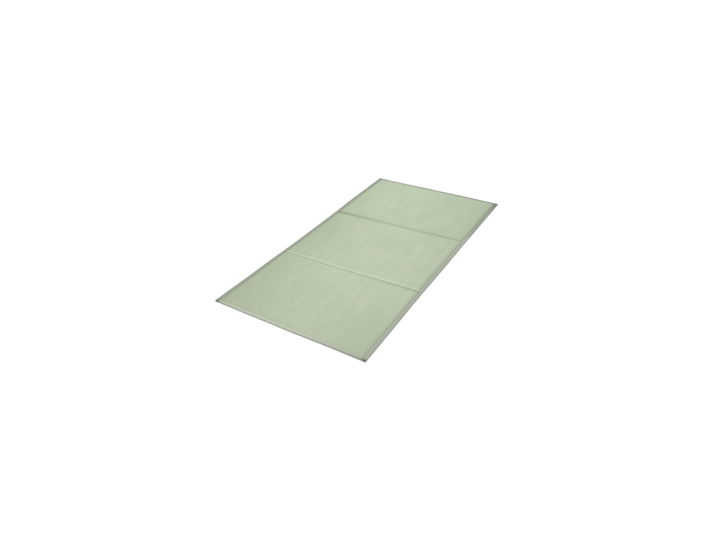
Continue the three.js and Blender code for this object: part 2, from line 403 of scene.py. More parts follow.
class Nodes:
    """Adds and wires the nodes of one tree."""

    def __init__(self, tree: bpy.types.NodeTree) -> None:
        """Keeps the tree to work on."""
        self.tree = tree

    def add(self, kind: str, **settings: object) -> bpy.types.Node:
        """Adds a shader node and sets its properties.

        Args:
            kind: The node's type name without its ShaderNode prefix.
            **settings: Properties of the node.

        Returns:
            The new node.
        """
        node = self.tree.nodes.new("ShaderNode" + kind)
        for key, value in settings.items():
            setattr(node, key, value)
        return node

    def feed(self, socket: bpy.types.NodeSocket, source: object) -> None:
        """Links an output to an input, or sets the input if the source is a plain value.

        Args:
            socket: The input.
            source: An output, a number, or a tuple of numbers.
        """
        if isinstance(source, bpy.types.NodeSocket):
            self.tree.links.new(source, socket)
        else:
            socket.default_value = source

    def math(self, operation: str, *sources: object, clamp: bool = False) -> bpy.types.NodeSocket:
        """A Math node on sockets or numbers.

        Args:
            operation: The node's operation.
            *sources: Its inputs in order.
            clamp: Whether the result is held between 0 and 1.

        Returns:
            The result's socket.
        """
        node = self.add("Math", operation=operation, use_clamp=clamp)
        for socket, source in zip(node.inputs, sources):
            self.feed(socket, source)
        return node.outputs[0]

    def times(self, first: object, second: object) -> bpy.types.NodeSocket:
        """The product of two values."""
        return self.math("MULTIPLY", first, second)

    def plus(self, first: object, second: object) -> bpy.types.NodeSocket:
        """The sum of two values."""
        return self.math("ADD", first, second)

    def combine(self, x: object, y: object, z: object = 0.0) -> bpy.types.NodeSocket:
        """A vector from three sockets or numbers.

        Args:
            x: Its first part.
            y: Its second part.
            z: Its third part.

        Returns:
            The vector's socket.
        """
        node = self.add("CombineXYZ")
        for socket, source in zip(node.inputs, (x, y, z)):
            self.feed(socket, source)
        return node.outputs[0]

    def map_pair(self, uv_map: str) -> tuple[bpy.types.NodeSocket, bpy.types.NodeSocket]:
        """The two coordinates of the piece's own map.

        Args:
            uv_map: The map's name.

        Returns:
            The sockets of U and V.
        """
        apart = self.add("SeparateXYZ")
        self.feed(apart.inputs[0], self.add("UVMap", uv_map=uv_map).outputs[0])
        return apart.outputs[0], apart.outputs[1]

    def noise(self, vector: object, scale: float, detail: float = 2.0) -> bpy.types.NodeSocket:
        """The grey value of a Noise Texture, about 0.2 to 0.8.

        Args:
            vector: Where it is read.
            scale: Its scale.
            detail: How many finer layers it has.

        Returns:
            The value's socket.
        """
        node = self.add("TexNoise")
        self.feed(node.inputs["Vector"], vector)
        node.inputs["Scale"].default_value = scale
        node.inputs["Detail"].default_value = detail
        return node.outputs[0]

    def span(self, value: object, *limits: float) -> bpy.types.NodeSocket:
        """A value moved smoothly from one range to another.

        Args:
            value: The value to move.
            *limits: Low and high ends of its own range, then of the new one.

        Returns:
            The moved value's socket, held at the new range's ends.
        """
        node = self.add("MapRange", interpolation_type="SMOOTHSTEP")
        for key, source in zip(("Value", "From Min", "From Max", "To Min", "To Max"), (value, *limits)):
            self.feed(node.inputs[key], source)
        return node.outputs[0]

    def mix(self, share: object, first: object, second: object) -> bpy.types.NodeSocket:
        """A mix of two colours, each a socket or three numbers.

        Args:
            share: How much of the second there is.
            first: The first colour.
            second: The second colour.

        Returns:
            The mixed colour's socket.
        """
        node = self.add("Mix", data_type="RGBA")
        self.feed(node.inputs[0], share)
        for socket, source in zip((node.inputs[6], node.inputs[7]), (first, second)):
            self.feed(socket, (*source, 1.0) if isinstance(source, tuple) else source)
        return node.outputs[2]

    def group(self, tree: bpy.types.NodeTree, *sources: object) -> bpy.types.NodeOutputs:
        """Places a node group and feeds its inputs in order.

        Args:
            tree: The group.
            *sources: What feeds its inputs.

        Returns:
            The placed group's outputs.
        """
        node = self.add("Group", node_tree=tree)
        for socket, source in zip(node.inputs, sources):
            self.feed(socket, source)
        return node.outputs


@dataclass
class GroupDraft:
    """A shader node group of float sockets, being built."""

    name: str
    inputs: Iterable[str]
    outputs: Iterable[str]

    def __post_init__(self) -> None:
        """Makes the tree with its sockets."""
        self.tree = bpy.data.node_groups.new(self.name, "ShaderNodeTree")
        for key in self.inputs:
            self.tree.interface.new_socket(key, in_out="INPUT", socket_type="NodeSocketFloat")
        for key in self.outputs:
            self.tree.interface.new_socket(key, in_out="OUTPUT", socket_type="NodeSocketFloat")
        self.nodes = Nodes(self.tree)
        self.given = self.tree.nodes.new("NodeGroupInput").outputs

    def close(self, *sources: object) -> bpy.types.NodeTree:
        """Feeds the outputs in order and hands over the tree.

        Args:
            *sources: What feeds the outputs.

        Returns:
            The finished group.
        """
        made = self.tree.nodes.new("NodeGroupOutput")
        for socket, source in zip(made.inputs, sources):
            self.nodes.feed(socket, source)
        return self.tree


@dataclass(frozen=True)
class StrandPattern:
    """Rush strands laid side by side across ribs, each rib half a strand out of step with the next."""

    stray: float = 1.1
    stray_scales: tuple[float, float] = (0.7, 0.06)
    tone_scales: tuple[float, float] = (0.09, 5.37)
    roundness: float = 3.9
    gap_from: float = 0.3
    hollow_from: float = 0.4

    def group(self) -> bpy.types.NodeTree:
        """Builds the pattern.

        Returns:
            A group that turns a rib count and a strand count into a tone for each strand, the height
            of its round back, and masks of the gaps between strands and the hollows between ribs.
        """
        draft = GroupDraft("rush strands", ("Rib", "Strand"), ("Tone", "Height", "Gap", "Hollow"))
        nodes, rib, strand = draft.nodes, draft.given[0], draft.given[1]
        by_rib, by_strand = self.stray_scales
        stray = nodes.noise(nodes.combine(nodes.times(rib, by_rib), nodes.times(strand, by_strand)), 1.0)
        bent = nodes.plus(strand, nodes.times(nodes.math("SUBTRACT", stray, 0.5), self.stray))
        odd = nodes.math("FLOORED_MODULO", nodes.math("FLOOR", rib), 2.0)
        stepped = nodes.plus(bent, nodes.times(odd, 0.5))
        index = nodes.plus(nodes.times(nodes.math("FLOOR", stepped), 2.0), odd)
        across = self._from_middle(nodes, stepped)
        by_rib, by_index = self.tone_scales
        tone = nodes.noise(nodes.combine(nodes.times(rib, by_rib), nodes.times(index, by_index)), 1.0, 1.0)
        gap = nodes.span(across, self.gap_from, 0.5, 0.0, 1.0)
        hollow = nodes.span(self._from_middle(nodes, rib), self.hollow_from, 0.5, 0.0, 1.0)
        bowed = nodes.math("SUBTRACT", 1.0, nodes.times(nodes.times(across, across), self.roundness))
        return draft.close(tone, nodes.math("SQRT", bowed), gap, hollow)

    @staticmethod
    def _from_middle(nodes: Nodes, count: bpy.types.NodeSocket) -> bpy.types.NodeSocket:
        """Distance from the middle of a counted strand or rib, from 0 to 0.5 at its edge."""
        return nodes.math("ABSOLUTE", nodes.math("SUBTRACT", nodes.math("FRACT", count), 0.5))


@dataclass(frozen=True)
class PlainWeave:
    """Warp and weft threads that pass over and under each other."""

    thread_rise: float = -0.2
    crossing_rise: float = 0.25
    gap_from: float = 0.6

    def group(self) -> bpy.types.NodeTree:
        """Builds the pattern.

        Returns:
            A group that turns two thread counts into a height and a mask of the gaps between threads.
        """
        draft = GroupDraft("plain weave", ("Warp", "Weft"), ("Height", "Gap"))
        nodes, warp, weft = draft.nodes, draft.given[0], draft.given[1]
        over = nodes.times(self._wave(nodes, warp, 0.5), self._wave(nodes, weft, 0.5))
        threads = nodes.plus(self._wave(nodes, warp, 1.0), self._wave(nodes, weft, 1.0))
        relief = nodes.plus(nodes.times(threads, self.thread_rise), nodes.times(over, self.crossing_rise))
        return draft.close(nodes.plus(relief, 0.5), nodes.span(threads, self.gap_from, 2.0, 0.0, 1.0))

    @staticmethod
    def _wave(nodes: Nodes, count: bpy.types.NodeSocket, turns: float) -> bpy.types.NodeSocket:
        """The rise and fall of one set of threads, from -1 to 1."""
        return nodes.math("COSINE", nodes.times(count, turns * 2 * math.pi))


@dataclass(frozen=True)
class Finish:
    """A material with a Principled shader at its end."""

    name: str
    roughness: float
    sheen: float = 0.0
    sheen_roughness: float = 0.5
    specular: float = 0.5

    def start(self) -> tuple[bpy.types.Material, Nodes, bpy.types.Node]:
        """Makes the material with its constant sockets set.

        Returns:
            The material, its node helper and its Principled node.
        """
        material = bpy.data.materials.new(self.name)
        material.use_nodes = True
        shader = material.node_tree.nodes["Principled BSDF"]
        shader.inputs["Roughness"].default_value = self.roughness
        shader.inputs["Specular IOR Level"].default_value = self.specular
        shader.inputs["Sheen Weight"].default_value = self.sheen
        shader.inputs["Sheen Roughness"].default_value = self.sheen_roughness
        return material, Nodes(material.node_tree), shader

    @staticmethod
    def bump(nodes: Nodes, shader: bpy.types.Node, height: object, depth: float) -> None:
        """Feeds a height, in shares of a depth in metres, to the shader's normal.

        Args:
            nodes: The material's node helper.
            shader: Its Principled node.
            height: The height, from 0 to 1.
            depth: The depth in metres.
        """
        node = nodes.add("Bump")
        node.inputs["Strength"].default_value = 1.0
        node.inputs["Distance"].default_value = depth
        nodes.feed(node.inputs["Height"], height)
        nodes.feed(shader.inputs["Normal"], node.outputs[0])


@dataclass(frozen=True)
class RushFinish(Finish):
    """Dried rush: pale green strands with some straw-coloured ones, with painted shade between strands and
    ribs.
    """

    name: str = "woven rush"
    roughness: float = 0.62
    sheen: float = 0.12
    green: Colour = (0.425, 0.516, 0.361)
    pale: Colour = (0.486, 0.576, 0.418)
    straw: Colour = (0.569, 0.624, 0.459)
    shade: Colour = (0.200, 0.250, 0.160)
    light_tones: Range = (0.3, 0.5)
    dry_tones: Range = (0.5, 0.72)
    patch_scale: float = 5.0
    patch_detail: float = 3.0
    patch_tones: Range = (0.35, 0.7)
    patch_share: float = 0.35
    streak_scales: tuple[float, float] = (0.48, 0.006)
    streak_tones: Range = (0.3, 0.7)
    streak_share: float = 0.13
    fibres_in_rib: float = 8.0
    fibre_scale: float = 1.6
    fibre_tones: Range = (0.35, 0.75)
    fibre_share: float = 0.11
    fibre_relief: float = 0.25
    # Painted shade in the gaps between strands and in the hollows between ribs.
    gap_share: float = 0.3
    hollow_share: float = 0.28
    rough_tones: Range = (0.2, 0.8)
    roughness_ends: Range = (0.52, 0.7)
    relief: float = 0.21 * MM
    weave_map: str = "weave"
    # The mat's attribute of painted light and shade over its base tone.
    tone_and_painted_light_share: str = "tone_and_painted_light_share"

    def material(self, strands: bpy.types.NodeTree) -> bpy.types.Material:
        """Builds the finish.

        Args:
            strands: The rush strand group.

        Returns:
            The material.
        """
        material, nodes, shader = self.start()
        rib, strand = nodes.map_pair(self.weave_map)
        tone, back, gap, hollow = nodes.group(strands, rib, strand)
        place = nodes.add("TexCoord").outputs["Object"]
        light = nodes.span(tone, *self.light_tones, 0.0, 1.0)
        dry = nodes.span(tone, *self.dry_tones, 0.0, 1.0)
        colour = nodes.mix(dry, nodes.mix(light, self.green, self.pale), self.straw)
        clouds = nodes.noise(place, self.patch_scale, self.patch_detail)
        patches = nodes.span(clouds, *self.patch_tones, 0.0, self.patch_share)
        colour = nodes.mix(patches, colour, self.straw)
        fibres = nodes.noise(nodes.combine(nodes.times(rib, self.fibres_in_rib), strand), self.fibre_scale)
        by_rib, by_strand = self.streak_scales
        streaks = nodes.noise(nodes.combine(nodes.times(rib, by_rib), nodes.times(strand, by_strand)), 1.0)
        # Painted light and shade, over the base tone, from the mat's points.
        tone_and_painted_light_share = nodes.add("Attribute", attribute_name=self.tone_and_painted_light_share).outputs["Fac"]
        # Streaks and fibres are the rush's own tone; the gaps and hollows get painted shade, and the last
        # share adds the mat's painted light and shade.
        darker = (
            nodes.span(streaks, *self.streak_tones, 0.0, self.streak_share),
            nodes.span(fibres, *self.fibre_tones, 0.0, self.fibre_share),
            nodes.times(gap, self.gap_share),
            nodes.times(hollow, self.hollow_share),
            tone_and_painted_light_share,
        )
        for share in darker:
            colour = nodes.mix(share, colour, self.shade)
        nodes.feed(shader.inputs["Base Color"], colour)
        nodes.feed(shader.inputs["Roughness"], nodes.span(tone, *self.rough_tones, *self.roughness_ends))
        self.bump(nodes, shader, nodes.plus(back, nodes.times(fibres, self.fibre_relief)), self.relief)
        return material


@dataclass(frozen=True)
class TapeFinish(Finish):
    """Greige cotton tape in a plain weave, with painted shade on its turned edge, and darker in given
    stretches.
    """

    name: str = "binding tape"
    roughness: float = 0.9
    sheen: float = 0.06
    specular: float = 0.25
    cloth: Colour = (0.31, 0.335, 0.27)
    pale: Colour = (0.39, 0.415, 0.34)
    shade: Colour = (0.14, 0.145, 0.115)
    gap_share: float = 0.6
    darkening_strength: float = 0.95
    blotch_scale: float = 60.0
    blotch_detail: float = 3.0
    blotch_tones: Range = (0.2, 0.8)
    blotch_least: float = 0.7
    slub_length: float = 20.0
    slub_tones: Range = (0.35, 0.65)
    slub_relief: float = 0.4
    relief: float = 0.18 * MM
    tape_map: str = "tape"
    # The strip's attribute of painted shade and darker stretches.
    shade_and_darkening: str = "shade_and_darkening"

    def material(self, weave: bpy.types.NodeTree) -> bpy.types.Material:
        """Builds the finish.

        Args:
            weave: The plain weave's group.

        Returns:
            The material.
        """
        material, nodes, shader = self.start()
        warp, weft = nodes.map_pair(self.tape_map)
        height, gap = nodes.group(weave, warp, weft)
        drawn_out = 1 / self.slub_length
        slub = nodes.noise(nodes.combine(warp, nodes.times(weft, drawn_out)), 1.0)
        rib = nodes.noise(nodes.combine(nodes.times(warp, drawn_out), weft), 1.0)
        uneven = nodes.times(nodes.plus(slub, rib), 0.5)
        colour = nodes.mix(nodes.span(uneven, *self.slub_tones, 0.0, 1.0), self.cloth, self.pale)
        # Painted shade in the gaps between threads.
        colour = nodes.mix(nodes.times(gap, self.gap_share), colour, self.shade)
        # Painted shade on the turned edge and at the long strips' ends, with the darker stretches, made
        # patchy.
        darkening = nodes.add("Attribute", attribute_name=self.shade_and_darkening).outputs["Fac"]
        place = nodes.add("TexCoord").outputs["Object"]
        clouds = nodes.noise(place, self.blotch_scale, self.blotch_detail)
        blotch = nodes.span(clouds, *self.blotch_tones, self.blotch_least, 1.0)
        colour = nodes.mix(nodes.times(nodes.times(darkening, blotch), self.darkening_strength), colour, self.shade)
        nodes.feed(shader.inputs["Base Color"], colour)
        self.bump(nodes, shader, nodes.plus(height, nodes.times(uneven, self.slub_relief)), self.relief)
        return material


@dataclass(frozen=True)
class ShadedTapeFinish(TapeFinish):
    """A shaded copy of the same tape, its colours painted darker."""

    name: str = "dark binding tape"
    cloth: Colour = (0.26, 0.28, 0.225)
    pale: Colour = (0.325, 0.35, 0.285)


@dataclass(frozen=True)
class LitTapeFinish(TapeFinish):
    """A lit copy of the same tape, its colours painted lighter."""

    name: str = "pale binding tape"
    cloth: Colour = (0.44, 0.475, 0.39)
    pale: Colour = (0.53, 0.565, 0.47)


@dataclass(frozen=True)
class ThreadFinish(Finish):
    """Twisted sewing thread."""

    name: str = "sewing thread"
    roughness: float = 0.7
    sheen: float = 0.1
    light: Colour = (0.24, 0.26, 0.19)
    dark: Colour = (0.12, 0.13, 0.09)
    twist_scale: float = 900.0
    relief: float = 0.05 * MM

    def material(self) -> bpy.types.Material:
        """Builds the finish, with the twist as fine slanting stripes.

        Returns:
            The material.
        """
        material, nodes, shader = self.start()
        wave = nodes.add("TexWave", bands_direction="DIAGONAL")
        nodes.feed(wave.inputs["Vector"], nodes.add("TexCoord").outputs["Object"])
        wave.inputs["Scale"].default_value = self.twist_scale
        twist = wave.outputs["Fac"]
        nodes.feed(shader.inputs["Base Color"], nodes.mix(twist, self.dark, self.light))
        self.bump(nodes, shader, twist, self.relief)
        return material


@dataclass(frozen=True)
class LitThreadFinish(ThreadFinish):
    """A lit copy of the same thread, its colours painted lighter."""

    name: str = "pale sewing thread"
    light: Colour = (0.40, 0.43, 0.34)
    dark: Colour = (0.27, 0.29, 0.22)


@dataclass(frozen=True)
class FloorFinish(Finish):
    """A plain pale studio floor."""

    name: str = "studio floor"
    roughness: float = 0.9
    colour: Colour = (0.9, 0.9, 0.9)
    mottle: Colour = (0.89, 0.89, 0.89)
    cloud_scale: float = 1.5

    def material(self) -> bpy.types.Material:
        """Builds the finish, very slightly mottled.

        Returns:
            The material.
        """
        material, nodes, shader = self.start()
        clouds = nodes.noise(nodes.add("TexCoord").outputs["Object"], self.cloud_scale)
        nodes.feed(shader.inputs["Base Color"], nodes.mix(clouds, self.colour, self.mottle))
        return material


# ---------------------------------------------------------------- The rush mat


@dataclass(frozen=True)
class Row:
    """A row of points across the mat, a share of the way between two offset crossing lines."""

    line: int
    offset: float
    next_line: int = 0
    next_offset: float = 0.0
    share: float = 0.0

    def y(self, crossings: Crossings) -> float:
        """Y of the row where it meets the given crossings.

        Args:
            crossings: The lines that cross the mat at one X.

        Returns:
            Y in the plan's own axes.
        """
        first = crossings.line(self.line) + self.offset
        if self.share == 0:
            return first
        return first + (crossings.line(self.next_line) + self.next_offset - first) * self.share


@dataclass(frozen=True)
class Column:
    """A column of points along the mat: its nominal X, its place in ribs, and its rise on the rib."""

    x: float
    rib: float
    rise: float
    crossings: Crossings


@dataclass(frozen=True)
class ToneAndPaintedLight:
    """Painted light and shade on the rush, over an even base tone, as shares of the dark tone.

    It carries a painted highlight along one slanting line down the mat and on the crests beside the
    near fold, and painted shade in the folds, along the strips of tape and their seams, and towards
    the near end. Each place across a fold is a distance past the fold's line, towards the far end.
    """

    # Painted highlight: a broad band painted lighter along a slanting line, darker the farther from it.
    highlight_line: SmoothLine = millimetres((-800, 20), (-400, 35), (0, 10), (400, -130), (800, -240))
    highlight_reach_left: SmoothLine = millimetres((-300, 870), (100, 760), (345, 690), (700, 470), (850, 440))
    highlight_reach_right: SmoothLine = millimetres((300, 1150), (500, 1220), (850, 1260))
    # The rush's own tone: an even share of the dark tone everywhere.
    overall: float = 0.21
    # Painted shade, darker towards the near end.
    near_end: float = 0.13
    near_end_reach: float = 560 * MM
    # Painted shade beside the strips of tape, and painted shadow along the seams of the long strips.
    left_border: SmoothLine = shares_along((-650, 0.16), (0, 0.19), (200, 0.24), (500, 0.27), (850, 0.28))
    right_border: SmoothLine = shares_along(
        (-660, 0.11), (-545, 0.11), (-400, 0.16), (100, 0.17), (480, 0.15), (750, 0.19),
    )
    end_border: float = 0.04
    border_reach: float = 28 * MM
    border_fall: float = 1.4
    left_seam: float = 0.02
    right_seam: float = 0.16
    side_seam_reach: float = 7 * MM
    # Painted highlights on the crests either side of the near fold.
    far_crest: float = 0.3
    far_crest_place: float = 13 * MM
    far_crest_reach: float = 6 * MM
    near_crest: SmoothLine = shares_along((-390, 0.17), (-270, 0.14), (50, 0.14), (150, 0.09), (250, 0.02))
    near_crest_place: float = -8 * MM
    near_crest_reach: float = 5 * MM
    # Painted shade in the two folds, and the far fold's painted shadow.
    near_fold: SmoothLine = shares_along((-300, 0.02), (-50, 0.08), (120, 0.22), (330, 0.3))
    near_fold_reach: float = 4 * MM
    far_fold: SmoothLine = shares_along((-390, 0.24), (-70, 0.2), (30, 0.26), (220, 0.3))
    far_fold_reach: float = 7 * MM
    far_fold_shadow: SmoothLine = shares_along((-390, 0.34), (-170, 0.26), (30, 0.18), (220, 0.1))
    far_fold_shadow_place: float = 2 * MM
    far_fold_shadow_reach: float = 17 * MM

    def at(self, x: float, y: float, crossings: Crossings, side: float, end: float) -> float:
        """How much painted light and shade the rush carries at a place, over its base tone.

        Args:
            x: Nominal X.
            y: Y in the plan's own axes.
            crossings: The lines that cross the mat at that X.
            side: Distance in from the long strip's inner edge.
            end: Distance in from the short strip's inner edge.

        Returns:
            The share of the dark tone, from 0 to 1.
        """
        # Painted highlight band: lighter along a slanting line, darker away from it.
        aside = x - self.highlight_line.at(y)
        reach = self.highlight_reach_left if aside < 0 else self.highlight_reach_right
        off_highlight = (aside / reach.at(y)) ** 2
        # Painted shade beside the strips and towards the near end, and painted shadow along the seams.
        side_border = self.left_border if x < 0 else self.right_border
        borders = side_border.at(y) * self._border(side) + self.end_border * self._border(end)
        seam = (self.right_seam if x > 0 else self.left_seam) * bell(side, self.side_seam_reach)
        to_near, to_far = y - crossings.near_fold, y - crossings.far_fold
        near_end = self.near_end * ease(-to_near / self.near_end_reach)
        # Painted highlights on the crests beside the near fold.
        crests = self.far_crest * bell(to_near - self.far_crest_place, self.far_crest_reach)
        crests += self.near_crest.at(x) * bell(to_near - self.near_crest_place, self.near_crest_reach)
        # Painted shade in the folds, and the far fold's painted shadow.
        folds = self.near_fold.at(x) * bell(to_near, self.near_fold_reach)
        folds += self.far_fold.at(x) * bell(to_far, self.far_fold_reach)
        to_shadow = to_far - self.far_fold_shadow_place
        folds += self.far_fold_shadow.at(x) * bell(to_shadow, self.far_fold_shadow_reach)
        return min(1.0, max(0.0, self.overall + off_highlight + borders + seam + near_end + folds - crests))

    def _border(self, inset: float) -> float:
        """Painted shade beside a strip, fading inwards."""
        return (1 - ease(inset / self.border_reach)) ** self.border_fall


@dataclass
class RushMat:
    """The padded mat of woven rush, ribbed on both faces and quilted down at its two folds."""

    plan: MatPlan
    lip: Lip
    # Painted light and shade over the rush's base tone.
    tone_and_painted_light: ToneAndPaintedLight = ToneAndPaintedLight()
    rib_pitch: float = 15 * MM
    rib_rise: float = 0.95 * MM
    under_rise: float = 0.35 * MM
    strand_pitch: float = 1.3 * MM
    pad_height: float = 9.7 * MM
    crown: float = 0.5 * MM
    swell: float = 26 * MM
    under_swell: float = 9 * MM
    panel_step: float = 14.2 * MM
    first_rib: float = 1 * MM
    tucked_clear: float = 2 * MM
    pucker: float = 0.45 * MM
    pucker_reach: float = 15 * MM
    pucker_places: tuple[float, float] = (6 * MM, 8 * MM)
    pucker_waves: tuple[float, float, float] = (55.0, 9.0, 38.0)
    pucker_seeds: tuple[float, float] = (7.0, 5.0)
    pucker_gain: float = 3.0
    uneven: tuple[tuple[float, float, float], ...] = ((0.55 * MM, 6.0, 3.0), (0.22 * MM, 21.0, 9.0))
    swell_power: float = 2.4
    rib_left_at_seam: float = 0.08
    rib_left_in_fold: float = 0.45
    rib_fold_reach: float = 7 * MM
    rib_profile: tuple[tuple[float, float], ...] = (
        (0.0, 0.0), (0.12, 0.62), (0.34, 1.0), (0.66, 1.0), (0.88, 0.62),
    )
    rim_insets: tuple[float, ...] = (2.8, 10.0, 17.0)
    end_steps: tuple[float, ...] = (2.8, 8.0, 13.0, 16.5, 19.0, 22.0, 26.0, 31.0, 37.0, 45.0)
    near_fold_steps: tuple[float, ...] = (
        -52, -40, -31, -23, -16, -11, -7.5, -5, -3.2, -1.6, 0, 1.6, 3.2, 5, 7.5, 11, 16, 23, 31, 40, 52,
    )
    far_fold_steps: tuple[float, ...] = (
        -50, -38, -30, -23, -17, -12, -8, -4.5, -2, 0, 2, 4.5, 8, 13, 19, 26, 34, 43, 54, 66,
    )
    near_profile: SmoothLine = millimetres(
        (-60, 0), (-44, -0.2), (-31, -0.5), (-18, 0.1), (-9, 0.1), (-5, -0.8), (-2, -3.0), (0, -4.0),
        (1.6, -3.2), (3.6, -0.6), (7, 0.6), (13, 1.1), (24, 0.8), (40, 0.2), (60, 0),
    )
    far_profile: SmoothLine = millimetres(
        (-42, 0), (-30, -0.35), (-20, -1.1), (-11, -2.3), (-3, -3.8), (0, -4.2), (4, -3.8), (13, -2.7),
        (24, -1.6), (36, -0.8), (50, -0.3), (66, 0),
    )
    under_profile: SmoothLine = millimetres((-12, 0), (-5, 0.4), (0, 1.4), (5, 0.4), (12, 0))

    def rows(self) -> list[Row]:
        """Rows from the near end to the far end, closest where the surface bends most.

        Returns:
            The rows in order.
        """
        mirrored = tuple(-step for step in reversed(self.end_steps))
        stacks = (self.end_steps, self.near_fold_steps, self.far_fold_steps, mirrored)
        middle = self.plan.crossings(0.0)
        rows: list[Row] = []
        for line, steps in enumerate(stacks):
            rows.extend(Row(line, step * MM) for step in steps)
            if line + 1 < len(stacks):
                last, first = steps[-1] * MM, stacks[line + 1][0] * MM
                gap = middle.line(line + 1) + first - middle.line(line) - last
                count = round(gap / self.panel_step)
                rows.extend(Row(line, last, line + 1, first, i / count) for i in range(1, count))
        return rows

    def columns(self) -> list[Column]:
        """Columns from left to right: a plain rim at each side, and a rounded profile for each rib.

        Returns:
            The columns in order.
        """
        half = self.plan.width / 2
        first = -half + self.lip.side_width + self.first_rib
        count = round(-2 * first / self.rib_pitch)
        pitch = -2 * first / count
        rim = [inset * MM - half for inset in self.rim_insets]
        spots = [(x, 0.0) for x in rim]
        for i in range(count):
            spots.extend((first + (i + at) * pitch, rise) for at, rise in self.rib_profile)
        spots.append((-first, 0.0))
        spots.extend((-x, 0.0) for x in reversed(rim))
        return [Column(x, (x - first) / pitch, rise, self.plan.crossings(x)) for x, rise in spots]

    def padding(self, x: float, y: float, crossings: Crossings) -> float:
        """How fully the mat has swelled at a place, from 0 at the tape's seam to 1 inside.

        Args:
            x: Nominal X.
            y: Y in the plan's own axes.
            crossings: The lines that cross the mat at that X.

        Returns:
            The share of the full height.
        """
        lip = self.lip
        side = self.plan.side_inset(x) - lip.side_width + lip.seam_inset
        end = crossings.end_inset(y) - lip.end_width + lip.seam_inset
        return self._swelled(side) * self._swelled(end)

    def _swelled(self, past_seam: float) -> float:
        """The padding's quick rise from a seam, rounding over to the full height."""
        return 1 - (1 - min(1.0, max(0.0, past_seam / self.swell))) ** self.swell_power

    def top_height(self, x: float, y: float, rise: float, crossings: Crossings) -> float:
        """Height of the upper face.

        Args:
            x: Nominal X.
            y: Y in the plan's own axes.
            rise: The rise on the rib there, from 0 to 1.
            crossings: The lines that cross the mat at that X.

        Returns:
            The height over the floor.
        """
        swell = self.padding(x, y, crossings)
        to_near, to_far = y - crossings.near_fold, y - crossings.far_fold
        fold = self.near_profile.at(to_near) + self.far_profile.at(to_far)
        panel = math.sin(math.pi * crossings.panel_share(y)) ** 2
        uneven = sum(depth * wander(x * waves, y * waves, seed) for depth, waves, seed in self.uneven)
        beside_near, beside_far = self.pucker_places
        to_seam = min(abs(to_near - beside_near), abs(to_far - beside_far))
        across, along, beside_tape = self.pucker_waves
        at_seam, at_tape = self.pucker_seeds
        gathers = self.pucker * wander(x * across, y * along, at_seam) * bell(to_seam, self.pucker_reach)
        edge = wander(x * beside_tape, y * beside_tape, at_tape) * self.pucker_gain * swell * (1 - swell)
        full = self.pad_height + self.crown * panel + fold + uneven + gathers
        pinched = self.lip.pinched
        height = pinched + (full - pinched) * swell + self.pucker * edge
        left = self._part_left(self.rib_left_at_seam, swell) * self._left_in_fold(to_near, to_far)
        return height + rise * self.rib_rise * left

    @staticmethod
    def _part_left(least: float, share: float) -> float:
        """What is left of a rib, from its least at share 0 to the whole rib at share 1."""
        return least + (1 - least) * share

    def _left_in_fold(self, to_near: float, to_far: float) -> float:
        """How much of a rib is left near a quilted fold."""
        clear = ease(min(abs(to_near), abs(to_far)) / self.rib_fold_reach)
        return self._part_left(self.rib_left_in_fold, clear)

    def under_height(self, x: float, y: float, rise: float, crossings: Crossings) -> float:
        """Height of the underside, whose ribs rest on the floor.

        Args:
            x: Nominal X.
            y: Y in the plan's own axes.
            rise: The rise on the rib there, from 0 to 1.
            crossings: The lines that cross the mat at that X.

        Returns:
            The height over the floor.
        """
        lip = self.lip
        side = self.plan.side_inset(x) - lip.side_width - lip.free
        end = crossings.end_inset(y) - lip.end_width - lip.free
        rested = ease(side / self.under_swell) * ease(end / self.under_swell)
        fold = self.under_profile.at(y - crossings.near_fold) + self.under_profile.at(y - crossings.far_fold)
        lifted = (lip.grip + lip.seam_lift) * (1 - rested)
        return max(lifted, fold * rested) + self.under_rise * (1 - rise) * rested

    def build(self, material: bpy.types.Material) -> bpy.types.Object:
        """Builds the mat as one closed mesh with its weave map.

        Args:
            material: The rush finish.

        Returns:
            The piece.
        """
        rows, columns = self.rows(), self.columns()
        shell = Shell(len(columns), len(rows))
        levels = [[row.y(column.crossings) for row in rows] for column in columns]
        # Each point keeps its share of painted light and shade over the base tone.
        tone_and_painted_light_share = shell.bm.verts.layers.float.new(RushFinish.tone_and_painted_light_share)
        for vertex, (column, row, upper) in zip(shell.bm.verts, shell.spots):
            spot, y = columns[column], levels[column][row]
            vertex.co = self._point(spot, y, Face.TOP if upper else Face.UNDER)
            side = self.plan.side_inset(spot.x) - self.lip.side_width
            end = spot.crossings.end_inset(y) - self.lip.end_width
            vertex[tone_and_painted_light_share] = self.tone_and_painted_light.at(spot.x, y, spot.crossings, side, end)
        self._map(shell, columns, levels)
        LOG.info("rush mat: %d columns by %d rows", len(columns), len(rows))
        return shell.finish("woven_rush_mat", material)

    def _point(self, spot: Column, y: float, face: Face) -> Vector:
        """A point of the mat, whose rim keeps inside the tape and clear of its tucked ends.

        Args:
            spot: The column it is on.
            y: Y in the plan's own axes.
            face: The face it is on.

        Returns:
            The point in the frame.
        """
        lip, crossings = self.lip, spot.crossings
        side, end = self.plan.side_inset(spot.x), crossings.end_inset(y)
        tuck = lip.tuck(side)
        shift = tuck * (1 - ease(end / lip.end_width))
        y += shift if y < 0 else -shift
        height = self.top_height if face is Face.TOP else self.under_height
        z = height(spot.x, y, spot.rise, crossings)
        if end < lip.end_width - self.tucked_clear:
            z -= tuck * face.value
        return self.plan.placed(spot.x, y, z)

